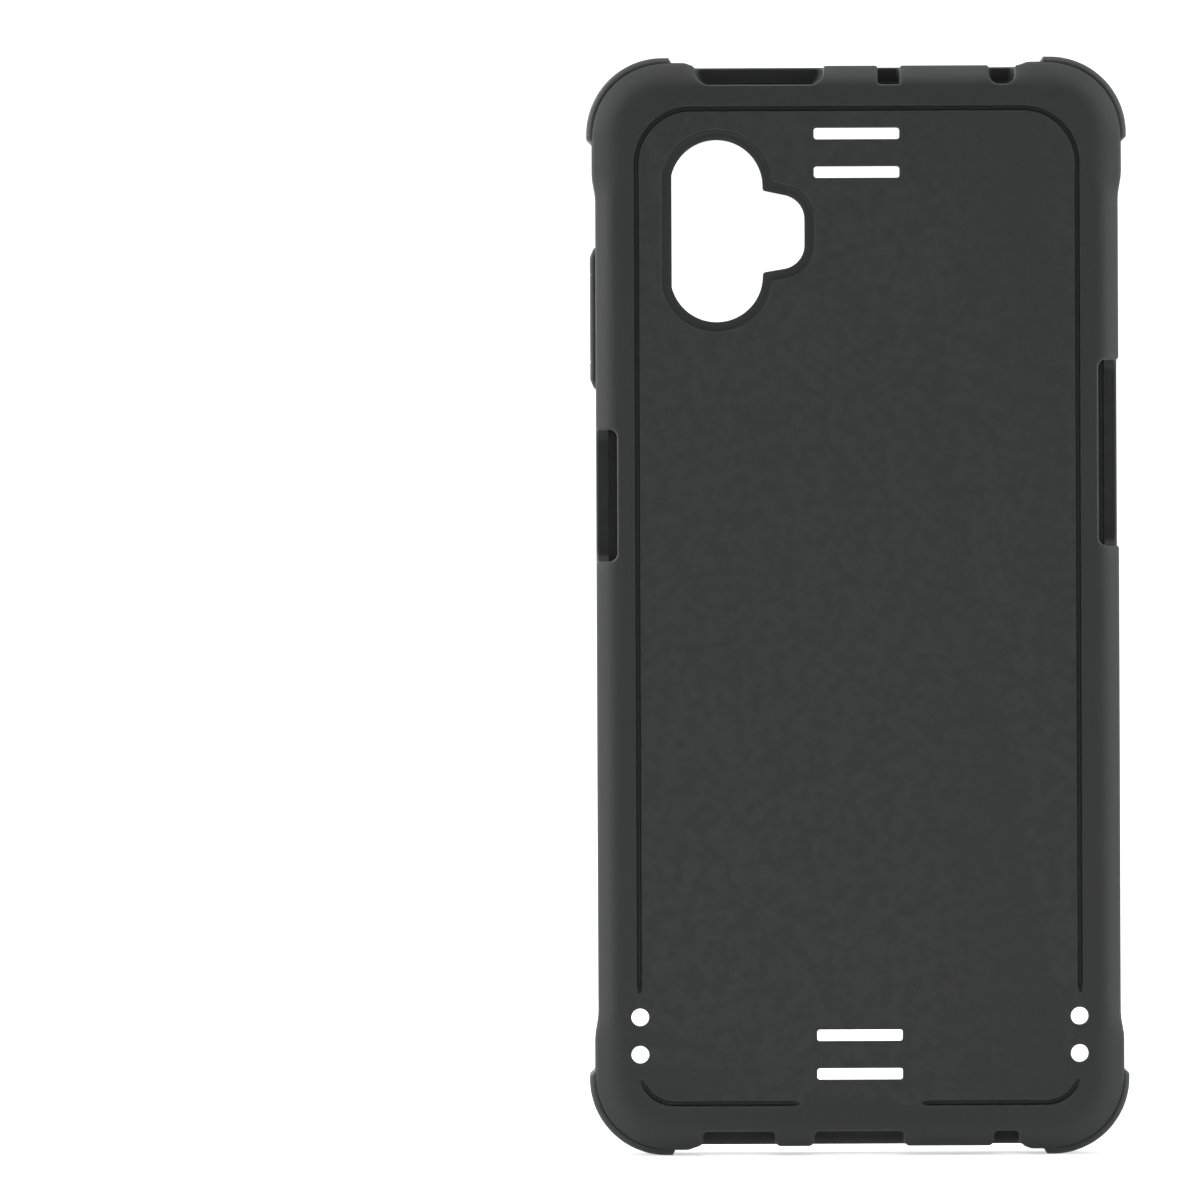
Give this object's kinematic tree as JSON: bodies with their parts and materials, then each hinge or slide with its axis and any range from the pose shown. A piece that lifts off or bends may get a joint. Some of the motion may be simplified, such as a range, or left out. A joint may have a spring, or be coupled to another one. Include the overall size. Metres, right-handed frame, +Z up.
{
  "type": "phone case",
  "caption": "Rugged one-handed bumper case for a large phone: matte back tub with glossy rim, corner bumpers, camera and key windows, strap slots and a rocker key.",
  "frame": {"origin": "middle of the case's footprint, on the plane that the two lower corner bumpers stand on", "axes": "+Z up along the case's height, +X to the right seen from the back, -Y out of the back panel, +Y out of the screen side"},
  "size_m": [0.087, 0.015, 0.1766],
  "materials": {
    "shell_matte": "matte spark-eroded grain",
    "rim_gloss": "smooth gloss",
    "bumper_matte": "matte spark-eroded grain",
    "rocker_matte": "matte grain"
  },
  "bodies": {
    "case": {"back_shell": "shell_matte", "front_bezel": "rim_gloss", "bumper_top_left": "bumper_matte", "bumper_top_right": "bumper_matte", "bumper_bottom_left": "bumper_matte", "bumper_bottom_right": "bumper_matte", "rocker_web": "shell_matte"},
    "rocker": {"volume_rocker": "rocker_matte"}
  },
  "joints": [
    {"name": "rocker_tilt", "type": "hinge", "parent": "case", "child": "rocker", "pos_m": [-0.0419, 0, 0.1348], "axis": [0, 1, 0], "range_deg": [-2.2, 2.2], "stiffness_Nm_per_rad": 0.3}
  ]
}
